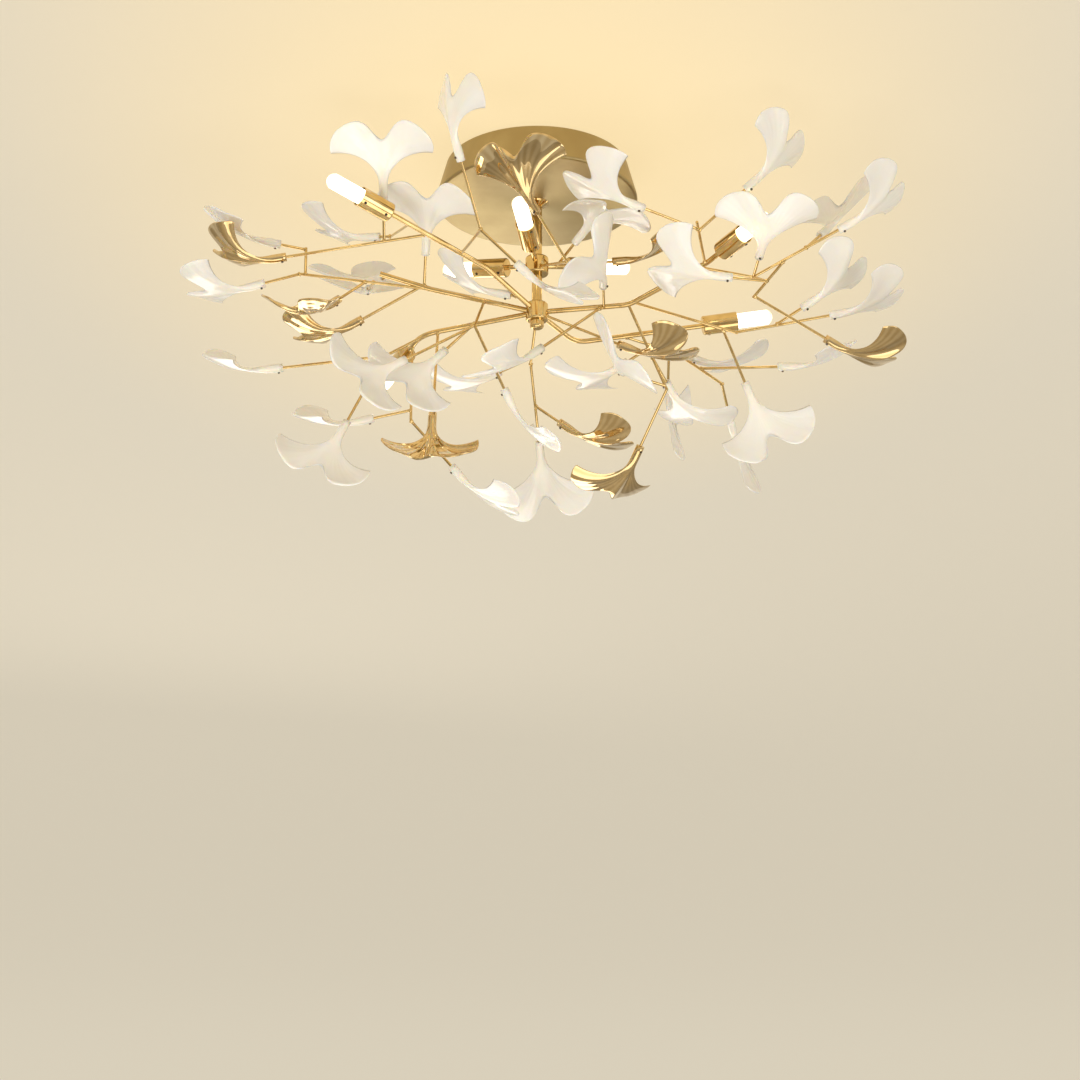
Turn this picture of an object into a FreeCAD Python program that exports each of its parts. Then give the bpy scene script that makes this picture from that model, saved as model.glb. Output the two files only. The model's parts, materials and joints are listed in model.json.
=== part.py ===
"""Leaf flush mount ceiling light: a pan on the ceiling, a short stem with two hubs, gilt arms with
straight twigs brazed on, capsule lamps in gilt cups, and ginkgo leaves of porcelain and gilt casting.

Millimetres. The origin is on the ceiling at the middle of the pan, +Z up, +X to the right and +Y away
from someone who looks at the front.
"""
import FreeCAD, Part

import math
import os
from dataclasses import dataclass

V = FreeCAD.Vector
X_AXIS = V(1, 0, 0)
TOUCH = 0.01
Y_AXIS = V(0, 1, 0)

# Pan on the ceiling
PAN_TOP_R = 99.0
PAN_FLOOR_R = 110.0
PAN_HEIGHT = 41.0
PAN_WALL = 1.2
PAN_EDGE_FILLET = 3.0

# Bracket that is screwed to the ceiling, and the two side screws that hold the pan on it
BRACKET_WIDTH = 26.0
BRACKET_THICK = 2.0
BRACKET_TAB_GAP = 6.0
BRACKET_TAB_DROP = 30.0
CEILING_SLOT_SPACING = 80.0
CEILING_SLOT_LENGTH = 18.0
CEILING_SLOT_HALF_WIDTH = 2.3
CABLE_HOLE_R = 7.0
SIDE_SCREW_DROP = 21.0
SIDE_SCREW_R = 2.0
SIDE_SCREW_HEAD_R = 4.5
SIDE_SCREW_HEAD = 4.0
SIDE_SCREW_DOME = 1.8
SIDE_SCREW_STANDOFF = 1.3
SIDE_SCREW_PAST_TAB = 2.0
SCREW_CLEARANCE = 0.2
TERMINAL_LENGTH = 30.0
TERMINAL_WIDTH = 16.0
TERMINAL_HEIGHT = 13.0
TERMINAL_WAYS = 3
TERMINAL_HOLE_R = 1.9
EARTH_SCREW_R = 2.0
EARTH_HEAD_R = 4.0
EARTH_HEAD = 2.6

# Stem and hubs
STEM_R = 5.5
STEM_BORE_R = 4.0
STEM_TOP_ABOVE_FLOOR = 9.0
STEM_NUT_R = 9.0
STEM_NUT = 5.0
STEM_COLLAR_R = 13.0
STEM_COLLAR = 4.0
STEM_COLLAR_BEVEL = 1.5
UPPER_HUB_DROP = 116.0
UPPER_HUB_R = 12.5
UPPER_HUB_HEIGHT = 20.0
LOWER_HUB_DROP = 170.0
LOWER_HUB_R = 12.0
LOWER_HUB_HEIGHT = 20.0
HUB_FILLET = 2.0
FINIAL_R = 7.5
FINIAL_HEIGHT = 9.0
FINIAL_DOME = 3.4

# Arms and twigs
ARM_R = 2.8
ARM_BORE_R = 1.9
ARM_BEND_R = 30.0
TWIG_R = 1.5

# Lamp cups, holders and capsule lamps
CUP_R = 10.5
CUP_WALL = 1.0
CUP_LENGTH = 38.0
CUP_BASE = 3.0
CUP_BASE_FILLET = 1.8
HOLDER_R = 8.6
HOLDER_LENGTH = 16.0
LAMP_R = 8.0
LAMP_BASE_R = 7.0
LAMP_BASE = 6.0
LAMP_GLASS = 52.0
LAMP_DOME = 6.0
LAMP_SEAT_GAP = 0.4
PIN_R = 0.7
PIN_LENGTH = 10.0
PIN_SPACING = 9.0
PIN_CLEARANCE = 0.4

# Ginkgo leaf moulds
PETIOLE_R = 4.6
PETIOLE_LENGTH = 18.0
TWIG_SEAT = 12.0
SEAT_CLEARANCE = 0.1
SEAT_END_GAP = 0.5
GRUB_R = 1.2
GRUB_FROM_END = 5.0
GRUB_LENGTH = 4.2
GRUB_CLEARANCE = 0.06
CLEFT_HALF_WIDTH = 0.13
NECK_FADE = 0.16
TIP_ROUNDING = 0.16
LOBE_SWELL = 0.04
NORMAL_STEP = 0.01


@dataclass(frozen=True)
class Mould:
    """One leaf shape: the fan's reach and spread, how it bends, cups and waves."""

    reach: float
    spread: float
    neck_spread: float
    cleft: float
    bend: float
    cup: float
    wave: float
    half_thick: float


WHITE_MOULD = Mould(reach=74.5, spread=56.0, neck_spread=20.0, cleft=0.56, bend=38.0, cup=0.0040,
                    wave=4.0, half_thick=1.6)
GOLD_MOULD = Mould(reach=72.8, spread=54.0, neck_spread=20.0, cleft=0.50, bend=54.0, cup=0.0062,
                   wave=4.0, half_thick=1.2)
ACROSS = 12
BLADE_STATIONS = (0.08, 0.22, 0.45, 0.70, 0.90, 1.0)
PETIOLE_STATIONS = (0.0, 0.3, 0.6, 0.85)
RIM_CROWDING = 0.2
RIM_BEVEL = 0.6


def blade_point(mould, rho, w):
    """Middle surface of the fan: rho runs out from the neck, w runs across from -1 to 1."""
    angle = math.radians(mould.neck_spread + (mould.spread - mould.neck_spread) * rho) * w
    cleft = mould.cleft * math.exp(-(w / CLEFT_HALF_WIDTH) ** 2) * rho ** 3
    tip = TIP_ROUNDING * w ** 6 * rho
    swell = LOBE_SWELL * math.sin(math.pi * abs(w)) * rho
    out = mould.reach * rho * (1.0 - cleft - tip + swell)
    x = out * math.cos(angle)
    y = out * math.sin(angle) + PETIOLE_R * w * math.exp(-rho / NECK_FADE)
    z = mould.cup * y * y + 0.5 * mould.wave * rho ** 2 * math.sin(2.2 * math.pi * w)
    turn = math.radians(mould.bend) / mould.reach
    swing = turn * x
    along = math.sin(swing) / turn - z * math.sin(swing)
    lift = (1.0 - math.cos(swing)) / turn + z * math.cos(swing)
    return V(PETIOLE_LENGTH + along, y, lift)


def blade_normal(mould, rho, w):
    """Unit normal of the middle surface, on the cupped side."""
    du = blade_point(mould, rho + NORMAL_STEP, w) - blade_point(mould, rho - NORMAL_STEP, w)
    dv = blade_point(mould, rho, w + NORMAL_STEP) - blade_point(mould, rho, w - NORMAL_STEP)
    return unit(du.cross(dv))


def across(phi, rho):
    """Place across the fan of a point phi round its section, crowded toward the cleft near the rim."""
    c = math.cos(phi)
    return math.copysign(abs(c) ** (1.0 + RIM_CROWDING * rho), c)


def skin_point(mould, rho, phi, side):
    """Point of a skin, side 1 on the cupped side and -1 on the back; the skins meet at the leaf's flanks."""
    w = across(phi, rho)
    thick = mould.half_thick + (PETIOLE_R - mould.half_thick) * math.exp(-rho / NECK_FADE)
    out = side * thick * max(math.sin(phi), 0.0)
    return blade_point(mould, rho, w) + blade_normal(mould, rho, w) * out


def section_angles():
    """Angles round half a section, from one flank of the leaf to the other."""
    return [math.pi * j / ACROSS for j in range(ACROSS + 1)]


def skin_face(mould, side):
    """One skin of the leaf with its stalk, as one spline face."""
    phis = section_angles()
    rows = []
    for part in PETIOLE_STATIONS:
        x = PETIOLE_LENGTH * part
        rows.append([V(x, PETIOLE_R * math.cos(p), side * PETIOLE_R * math.sin(p)) for p in phis])
    for rho in BLADE_STATIONS:
        rows.append([skin_point(mould, rho, p, side) for p in phis])
    return spline_face(rows)


def rim_faces(mould):
    """Rim between the skins, a flat with a bevel on each side, running out to nothing at the flanks."""
    rows = [[], [], [], []]
    for phi in section_angles():
        w = across(phi, 1.0)
        front = skin_point(mould, 1.0, phi, 1)
        back = skin_point(mould, 1.0, phi, -1)
        outward = unit(blade_point(mould, 1.0, w) - blade_point(mould, 1.0 - NORMAL_STEP, w))
        inward = (back - front) * (0.5 * RIM_BEVEL)
        step = outward * inward.Length
        rows[0].append(front)
        rows[1].append(front + inward + step)
        rows[2].append(back - inward + step)
        rows[3].append(back)
    return [spline_face(rows[k:k + 2], 1) for k in range(3)]


def spline_face(rows, degree=3):
    """Spline face with the given rows of control points, cubic along a row and clamped at its edges."""
    def knots(count, order):
        spans = count - order
        return [order + 1] + [1] * (spans - 1) + [order + 1], [float(k) for k in range(spans + 1)]

    umults, uknots = knots(len(rows), degree)
    vmults, vknots = knots(len(rows[0]), 3)
    surface = Part.BSplineSurface()
    surface.buildFromPolesMultsKnots(rows, umults, vmults, uknots, vknots, False, False, degree, 3)
    return surface.toShape()


def leaf_solid(mould):
    """Closed leaf with the twig's seat and the grub screw's hole."""
    skins = [skin_face(mould, 1), skin_face(mould, -1)]
    ends = [min(skin.Edges, key=lambda e: e.BoundBox.XMax) for skin in skins]
    shell = Part.Shell(skins + rim_faces(mould) + [Part.Face(Part.Wire(ends))])
    shell.sewShape()
    solid = Part.Solid(shell)
    if solid.Volume < 0:
        solid.reverse()
    seat = Part.makeCylinder(TWIG_R + SEAT_CLEARANCE, TWIG_SEAT + SEAT_END_GAP, V(0, 0, 0), X_AXIS)
    grub = Part.makeCylinder(GRUB_R + GRUB_CLEARANCE, PETIOLE_R + 2, V(GRUB_FROM_END, 0, 0), V(0, 0, -1))
    return solid.cut(seat).cut(grub)


# Ways in which a leaf's cupped side can face
NEAR = (0, -1, 0)
UP = (0, 0, 1)
DOWN = (0, 0, -1)
EDGE_ON = (0, -0.45, 0.89)


class Finish:
    """The two leaf finishes."""

    WHITE = "white"
    GOLD = "gold"


@dataclass(frozen=True)
class Arm:
    """A bent tube from a hub: the points it turns at, and whether it carries a lamp at its end."""

    name: str
    hub_drop: float
    turns: tuple
    lamp: int = 0


@dataclass(frozen=True)
class Twig:
    """A straight rod brazed on an arm, on another twig or on a hub.

    at is how far along its parent it starts, go is its free run, and face is where the cupped side
    of its leaf looks.
    """

    name: str
    on: str
    at: float
    go: tuple
    leaf: str = ""
    face: tuple = UP


ARMS = (
    Arm("near_left_arm", LOWER_HUB_DROP, ((-53, -50, -141), (-151, -126, -115)), lamp=1),
    Arm("front_lamp_arm", UPPER_HUB_DROP, ((-6, -34, -108),), lamp=2),
    Arm("left_lamp_arm", UPPER_HUB_DROP, ((-32, 14, -111),), lamp=3),
    Arm("right_lamp_arm", UPPER_HUB_DROP, ((34, 18, -108),), lamp=4),
    Arm("near_right_arm", LOWER_HUB_DROP, ((98, -11, -166), (178, -66, -143), (192, -88, -140)), lamp=5),
    Arm("right_arm", LOWER_HUB_DROP, ((42, 42, -187), (180, 49, -164)), lamp=6),
    Arm("far_left_arm", LOWER_HUB_DROP, ((-124, 14, -190), (-141, 52, -195)), lamp=7),
    Arm("left_arm", LOWER_HUB_DROP, ((-112, -28, -156), (-166, -37, -142))),
)

TWIGS = (
    # Near left arm
    Twig("gold_left", "near_left_arm", 156, (-146, 1, -25), Finish.GOLD, UP),
    Twig("over_lamp", "gold_left", 46, (0, -22, 36), Finish.WHITE, NEAR),
    Twig("front_fork", "near_left_arm", 112, (23, -108, -25)),
    Twig("front_up", "front_fork", 113, (-19, -41, 55), Finish.WHITE, (0.85, 0.5, 0)),
    Twig("front_low", "front_fork", 112, (36, 4, -35), Finish.WHITE, EDGE_ON),
    Twig("behind_run", "near_left_arm", 180, (-26, 100, 34)),
    Twig("behind_lamp", "behind_run", 106, (-12, 3, 1), Finish.WHITE, UP),
    # Left arm
    Twig("left_end", "left_arm", 162, (-8, 10, 3), Finish.WHITE, EDGE_ON),
    Twig("left_up", "left_arm", 124, (2, -22, 27), Finish.WHITE, (0, -1, 0.3)),
    Twig("left_gold_low", "left_arm", 127, (-62, 10, -33), Finish.GOLD, UP),
    Twig("left_long", "left_arm", 116, (-138, -26, 6)),
    Twig("left_tip", "left_long", 140, (-36, 1, -10), Finish.WHITE, UP),
    Twig("left_riser", "left_long", 134, (0, -2, 30)),
    Twig("left_high", "left_riser", 28, (-26, -8, 2), Finish.WHITE, EDGE_ON),
    Twig("left_gold_edge", "left_long", 70, (-26, -22, -30), Finish.GOLD, EDGE_ON),
    Twig("left_back", "left_long", 62, (-8, 42, 12), Finish.WHITE, UP),
    # Far left arm
    Twig("far_left_run", "far_left_arm", 124, (-44, 2, -24)),
    Twig("far_left_out", "far_left_run", 48, (-108, -4, -15), Finish.WHITE, EDGE_ON),
    Twig("far_left_fan", "far_left_run", 50, (-36, -10, -78), Finish.WHITE, NEAR),
    Twig("far_left_drop", "far_left_arm", 150, (0, 0, -88)),
    Twig("far_left_edge", "far_left_drop", 74, (-40, 3, -8), Finish.WHITE, EDGE_ON),
    Twig("far_left_low", "far_left_drop", 86, (44, 6, -50), Finish.WHITE, (0.8, 0, 0.3)),
    # Left low cluster
    Twig("low_root", "left_arm", 58, (-10, -24, -40)),
    Twig("low_wide", "low_root", 46, (-70, -33, -53), Finish.WHITE, NEAR),
    Twig("low_near", "low_root", 40, (-31, -6, -34), Finish.WHITE, NEAR),
    Twig("low_gold", "far_left_arm", 108, (-3, -22, -103), Finish.GOLD, NEAR),
    # Centre, under the lower hub
    Twig("drop_upper", "lower_hub", 0, (-7, 33, -47)),
    Twig("drop_lower", "drop_upper", 56, (9, 65, -65), Finish.WHITE, NEAR),
    Twig("drop_gold", "drop_lower", 50, (26, -3, -20), Finish.GOLD, UP),
    Twig("centre_back", "drop_upper", 50, (-34, 20, -8), Finish.WHITE, UP),
    Twig("drop_left", "low_root", 46, (31, 28, -60), Finish.WHITE, (1, 0, 0.3)),
    Twig("hub_left", "near_left_arm", 28, (-9, 1, 2), Finish.WHITE, UP),
    Twig("hub_right", "lower_hub", 0, (86, -30, -50), Finish.GOLD, UP),
    # Round the upper hub
    Twig("front_elbow", "upper_hub", 0, (32, -92, -38)),
    Twig("front_gold", "front_elbow", 102, (-31, -65, 25), Finish.GOLD, UP),
    Twig("back_pan", "right_lamp_arm", 24, (20, -30, 14), Finish.WHITE, DOWN),
    Twig("right_gold", "right_lamp_arm", 20, (64, -10, 1), Finish.GOLD, EDGE_ON),
    # Near right arm
    Twig("centre_small", "near_right_arm", 72, (-2, -52, 0), Finish.WHITE, (-0.85, 0, 0.5)),
    Twig("centre_wide", "near_right_arm", 70, (-64, -28, -59), Finish.WHITE, UP),
    Twig("right_fork", "near_right_arm", 196, (-12, -62, 18)),
    Twig("right_fork_left", "right_fork", 54, (-57, -28, 10), Finish.WHITE, UP),
    Twig("right_fork_up", "right_fork", 52, (47, -24, 35), Finish.WHITE, UP),
    Twig("right_run", "near_right_arm", 188, (60, -4, -14)),
    Twig("right_stub", "right_run", 58, (10, -48, -27)),
    Twig("right_near_leaf", "right_stub", 54, (-36, -4, 2), Finish.WHITE, (0, 0.3, 0.95)),
    Twig("right_face", "right_run", 58, (3, -38, 5), Finish.WHITE, UP),
    Twig("right_long", "right_run", 58, (87, -32, 39), Finish.WHITE, UP),
    Twig("right_up", "right_long", 62, (18, 20, 24), Finish.WHITE, (-0.7, -0.7, 0)),
    Twig("right_back", "right_long", 38, (-33, 22, -34)),
    Twig("right_gold_end", "right_back", 50, (73, 6, -45), Finish.GOLD, UP),
    # Right arm
    Twig("cross_run", "near_right_arm", 104, (112, 20, -27)),
    Twig("cross_drop", "cross_run", 100, (24, 23, -52), Finish.WHITE, NEAR),
    Twig("cross_out", "cross_run", 114, (50, -22, 0)),
    Twig("cross_up", "cross_out", 44, (28, -14, 14), Finish.WHITE, UP),
    Twig("cross_end", "cross_out", 54, (48, -9, 6), Finish.WHITE, UP),
    Twig("hang_run", "near_right_arm", 98, (41, 23, -89)),
    Twig("hang_gold", "hang_run", 100, (-27, 38, -50), Finish.GOLD, UP),
    Twig("hang_left", "hang_run", 52, (-22, 18, -8), Finish.WHITE, UP),
    Twig("hang_right", "hang_run", 62, (16, 26, -18), Finish.WHITE, (0, -0.3, 0.95)),
    Twig("hang_cross", "hang_run", 96, (-42, -28, 2)),
    Twig("hang_low", "hang_cross", 50, (-4, -15, -4), Finish.WHITE, (0.8, 0, 0.6)),
    Twig("far_right_run", "right_arm", 112, (76, 45, -6), Finish.WHITE, UP),
    Twig("far_right_drop", "far_right_run", 70, (50, 6, -34)),
    Twig("far_right_low", "far_right_drop", 60, (12, 46, -24), Finish.WHITE, (0.9, -0.4, 0)),
    Twig("far_right_mid", "far_right_run", 60, (1, 48, -20), Finish.WHITE, (0.9, -0.4, 0)),
    Twig("far_right_out", "far_right_drop", 30, (84, -24, -8), Finish.WHITE, EDGE_ON),
)


def unit(v):
    """Vector of length one along v."""
    n = V(*v)
    n.normalize()
    return n


def frame_at(origin, along, face):
    """Placement that sends X to along and Z as near to face as it can."""
    x = unit(along)
    z = V(*face) - x * V(*face).dot(x)
    if z.Length < 0.05:
        z = X_AXIS - x * X_AXIS.dot(x)
    z.normalize()
    y = z.cross(x)
    m = FreeCAD.Matrix(x.x, y.x, z.x, origin.x, x.y, y.y, z.y, origin.y, x.z, y.z, z.z, origin.z)
    return FreeCAD.Placement(m)


def revolve(points):
    """Solid of revolution about +Z of a closed outline of (radius, height) points."""
    wire = Part.makePolygon([V(r, 0, h) for r, h in points] + [V(points[0][0], 0, points[0][1])])
    return Part.Face(wire).revolve(V(0, 0, 0), V(0, 0, 1), 360)


def fillet_path(points, radius):
    """Wire of straight runs through points, with tangent arcs at the turns."""
    edges = []
    start = points[0]
    for before, corner, after in zip(points, points[1:], points[2:]):
        u = unit(before - corner)
        w = unit(after - corner)
        half = 0.5 * math.acos(max(-1.0, min(1.0, u.dot(w))))
        cut = min(radius / math.tan(half), 0.45 * (before - corner).Length, 0.45 * (after - corner).Length)
        r = cut * math.tan(half)
        centre = corner + unit(u + w) * (r / math.sin(half))
        a = corner + u * cut
        b = corner + w * cut
        mid = centre + unit(corner - centre) * r
        edges.append(Part.LineSegment(start, a).toShape())
        edges.append(Part.Arc(a, mid, b).toShape())
        start = b
    edges.append(Part.LineSegment(start, points[-1]).toShape())
    return Part.Wire(edges)


def tube(wire, radius):
    """Solid round bar along a wire."""
    edge = wire.Edges[0]
    start = edge.valueAt(edge.FirstParameter)
    tangent = edge.tangentAt(edge.FirstParameter)
    ring = Part.Wire(Part.makeCircle(radius, start, tangent))
    return wire.makePipeShell([ring], True, False)


def point_on(wire, at):
    """Point a given length along a wire."""
    left = at
    for edge in wire.Edges[:-1]:
        if left <= edge.Length:
            return edge.valueAt(edge.getParameterByLength(left))
        left -= edge.Length
    edge = wire.Edges[-1]
    return edge.valueAt(edge.getParameterByLength(min(left, edge.Length)))


def flat_edges(solid, height):
    """Edges of a solid that lie level at a given height."""
    return [e for e in solid.Edges if abs(e.BoundBox.ZMax - height) < TOUCH and e.BoundBox.ZLength < TOUCH]


def pan():
    """Tapered pan: open at the ceiling, with a round edge and holes for the stem and the side screws."""
    floor = -PAN_HEIGHT
    outer = revolve([(0, floor), (PAN_FLOOR_R, floor), (PAN_TOP_R, 0), (0, 0)])
    outer = outer.makeFillet(PAN_EDGE_FILLET, flat_edges(outer, floor))
    slope = (PAN_FLOOR_R - PAN_TOP_R) / PAN_HEIGHT
    inner_floor_r = PAN_FLOOR_R - PAN_WALL * (1 + slope)
    inner_floor = floor + PAN_WALL
    inner_top_r = PAN_TOP_R - PAN_WALL
    inner = revolve([(0, inner_floor), (inner_floor_r, inner_floor), (inner_top_r, 0), (0, 0)])
    inner = inner.makeFillet(PAN_EDGE_FILLET - PAN_WALL, flat_edges(inner, inner_floor))
    body = outer.cut(inner)
    body = body.cut(Part.makeCylinder(STEM_R, PAN_HEIGHT, V(0, 0, floor - 1)))
    past_wall = pan_radius_at(SIDE_SCREW_DROP) + 2 * PAN_WALL
    through = Part.makeCylinder(SIDE_SCREW_R + SCREW_CLEARANCE, 2 * past_wall,
                                V(0, -past_wall, -SIDE_SCREW_DROP), Y_AXIS)
    return body.cut(through)


def pan_radius_at(drop):
    """Outer radius of the pan's wall a given distance below the ceiling."""
    return PAN_TOP_R + (PAN_FLOOR_R - PAN_TOP_R) * drop / PAN_HEIGHT


TAB_Y = PAN_TOP_R - PAN_WALL - BRACKET_TAB_GAP
EARTH_Y = 0.5 * (CABLE_HOLE_R + CEILING_SLOT_SPACING / 2 - CEILING_SLOT_LENGTH / 2)


def bracket():
    """Bar with two bent tabs, slots for the ceiling screws and a hole for the supply."""
    corner = V(-BRACKET_WIDTH / 2, -TAB_Y, -BRACKET_THICK)
    body = Part.makeBox(BRACKET_WIDTH, 2 * TAB_Y, BRACKET_THICK, corner)
    for sign in (-1, 1):
        y = TAB_Y - BRACKET_THICK if sign > 0 else -TAB_Y
        body = body.fuse(Part.makeBox(BRACKET_WIDTH, BRACKET_THICK, BRACKET_TAB_DROP,
                                      V(-BRACKET_WIDTH / 2, y, -BRACKET_TAB_DROP)))
        middle = sign * CEILING_SLOT_SPACING / 2
        reach = CEILING_SLOT_LENGTH / 2 - CEILING_SLOT_HALF_WIDTH
        slot = Part.makeBox(2 * CEILING_SLOT_HALF_WIDTH, 2 * reach, 4 * BRACKET_THICK,
                            V(-CEILING_SLOT_HALF_WIDTH, middle - reach, -2 * BRACKET_THICK))
        for end in (-reach, reach):
            slot = slot.fuse(Part.makeCylinder(CEILING_SLOT_HALF_WIDTH, 4 * BRACKET_THICK,
                                               V(0, middle + end, -2 * BRACKET_THICK)))
        body = body.cut(slot)
    body = body.cut(Part.makeCylinder(CABLE_HOLE_R, 4 * BRACKET_THICK, V(0, 0, -2 * BRACKET_THICK)))
    past_tab = TAB_Y + BRACKET_THICK
    side = V(0, -past_tab, -SIDE_SCREW_DROP)
    body = body.cut(Part.makeCylinder(SIDE_SCREW_R, 2 * past_tab, side, Y_AXIS))
    body = body.cut(Part.makeCylinder(EARTH_SCREW_R, 4 * BRACKET_THICK, V(0, -EARTH_Y, -2 * BRACKET_THICK)))
    return body.removeSplitter()


def side_screws():
    """Two domed screws through the pan's wall into the bracket's tabs."""
    under_head = pan_radius_at(SIDE_SCREW_DROP) + SIDE_SCREW_STANDOFF
    length = under_head - TAB_Y + BRACKET_THICK + SIDE_SCREW_PAST_TAB
    shank = Part.makeCylinder(SIDE_SCREW_R, length, V(0, 0, -length))
    head = Part.makeCylinder(SIDE_SCREW_HEAD_R, SIDE_SCREW_HEAD)
    head = head.makeFillet(SIDE_SCREW_DOME, flat_edges(head, SIDE_SCREW_HEAD))
    screw = shank.fuse(head).removeSplitter()
    solids = []
    for sign in (-1, 1):
        piece = screw.copy()
        turn = FreeCAD.Rotation(X_AXIS, -90 * sign)
        piece.Placement = FreeCAD.Placement(V(0, sign * under_head, -SIDE_SCREW_DROP), turn)
        solids.append(piece)
    return Part.makeCompound(solids)


def earth_screw():
    """Pan-head screw for the earth wire in the bracket."""
    top = V(0, -EARTH_Y, -BRACKET_THICK)
    shank = Part.makeCylinder(EARTH_SCREW_R, BRACKET_THICK, top)
    head = Part.makeCylinder(EARTH_HEAD_R, EARTH_HEAD, top, V(0, 0, -1))
    return shank.fuse(head).removeSplitter()


def terminal_block():
    """Three-way terminal block under the bracket, bored for its wires."""
    y = 0.5 * (CEILING_SLOT_SPACING / 2 + CEILING_SLOT_LENGTH / 2 + TAB_Y - BRACKET_THICK)
    corner = V(-TERMINAL_LENGTH / 2, y - TERMINAL_WIDTH / 2, -BRACKET_THICK - TERMINAL_HEIGHT)
    body = Part.makeBox(TERMINAL_LENGTH, TERMINAL_WIDTH, TERMINAL_HEIGHT, corner)
    pitch = TERMINAL_LENGTH / TERMINAL_WAYS
    for way in range(TERMINAL_WAYS):
        x = corner.x + (way + 0.5) * pitch
        mouth = V(x, corner.y, corner.z + TERMINAL_HEIGHT / 2)
        body = body.cut(Part.makeCylinder(TERMINAL_HOLE_R, TERMINAL_WIDTH, mouth, Y_AXIS))
        body = body.cut(Part.makeCylinder(TERMINAL_HOLE_R, TERMINAL_HEIGHT / 3, V(x, y, corner.z)))
    return body


STEM_TOP = -PAN_HEIGHT + PAN_WALL + STEM_TOP_ABOVE_FLOOR
STEM_END = -LOWER_HUB_DROP - LOWER_HUB_HEIGHT / 2


def stem_tube():
    """Tube from inside the pan to the end of the lower hub."""
    length = STEM_TOP - STEM_END
    body = Part.makeCylinder(STEM_R, length, V(0, 0, STEM_END))
    return body.cut(Part.makeCylinder(STEM_BORE_R, length, V(0, 0, STEM_END)))


def stem_nut():
    """Hexagon nut inside the pan that holds the stem."""
    z = -PAN_HEIGHT + PAN_WALL
    turns = [k * math.pi / 3 for k in range(7)]
    corners = [V(STEM_NUT_R * math.cos(t), STEM_NUT_R * math.sin(t), z) for t in turns]
    body = Part.Face(Part.makePolygon(corners)).extrude(V(0, 0, STEM_NUT))
    return body.cut(Part.makeCylinder(STEM_R, STEM_NUT, V(0, 0, z)))


def stem_collar():
    """Dress ring under the pan, round the stem."""
    z = -PAN_HEIGHT
    bevel = STEM_COLLAR_BEVEL
    ring = [(STEM_R, z), (STEM_COLLAR_R, z), (STEM_COLLAR_R - bevel, z - bevel),
            (STEM_R + bevel, z - STEM_COLLAR), (STEM_R, z - STEM_COLLAR)]
    return revolve(ring)


def arm_path(arm):
    """Middle line of an arm, from the stem's middle to its end."""
    return fillet_path([V(0, 0, -arm.hub_drop)] + [V(*p) for p in arm.turns], ARM_BEND_R)


def drilled(body, wireways):
    """Body with the wire holes of the lamp arms through it."""
    for wireway in wireways:
        body = body.cut(wireway)
    return body


def hub(drop, radius, height):
    """Turned ring on the stem."""
    body = Part.makeCylinder(radius, height, V(0, 0, -drop - height / 2))
    body = body.makeFillet(HUB_FILLET, [e for e in body.Edges if e.BoundBox.ZLength < 0.01])
    return body.cut(Part.makeCylinder(STEM_R, height, V(0, 0, -drop - height / 2)))


def finial():
    """Domed end cap under the lower hub."""
    tip = STEM_END - FINIAL_HEIGHT
    body = Part.makeCylinder(FINIAL_R, FINIAL_HEIGHT, V(0, 0, tip))
    return body.makeFillet(FINIAL_DOME, flat_edges(body, tip))


def cup():
    """Lamp cup along +X from its base at the origin: a tube with a closed base, bored for the wires."""
    body = Part.makeCylinder(CUP_R, CUP_LENGTH, V(0, 0, 0), X_AXIS)
    body = body.makeFillet(CUP_BASE_FILLET, [e for e in body.Edges if e.BoundBox.XMax < TOUCH])
    body = body.cut(Part.makeCylinder(CUP_R - CUP_WALL, CUP_LENGTH, V(CUP_BASE, 0, 0), X_AXIS))
    return body.cut(Part.makeCylinder(ARM_BORE_R, CUP_BASE * 3, V(-CUP_BASE, 0, 0), X_AXIS))


def holder():
    """Ceramic holder on the cup's base, with two slots for the lamp's pins."""
    body = Part.makeCylinder(HOLDER_R, HOLDER_LENGTH, V(CUP_BASE, 0, 0), X_AXIS)
    for sign in (-1, 1):
        start = V(CUP_BASE + HOLDER_LENGTH - PIN_LENGTH, sign * PIN_SPACING / 2, 0)
        body = body.cut(Part.makeCylinder(PIN_R + PIN_CLEARANCE, PIN_LENGTH, start, X_AXIS))
    return body


def lamp():
    """Capsule lamp with two pins, its base just clear of the holder."""
    x = CUP_BASE + HOLDER_LENGTH + LAMP_SEAT_GAP
    base = Part.makeCylinder(LAMP_BASE_R, LAMP_BASE, V(x, 0, 0), X_AXIS)
    glass = Part.makeCylinder(LAMP_R, LAMP_GLASS, V(x + LAMP_BASE, 0, 0), X_AXIS)
    far = [e for e in glass.Edges if e.BoundBox.XMin > x + LAMP_BASE + LAMP_GLASS - TOUCH]
    body = base.fuse(glass.makeFillet(LAMP_DOME, far))
    for sign in (-1, 1):
        body = body.fuse(Part.makeCylinder(PIN_R, PIN_LENGTH, V(x, sign * PIN_SPACING / 2, 0), V(-1, 0, 0)))
    return body.removeSplitter()


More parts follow.
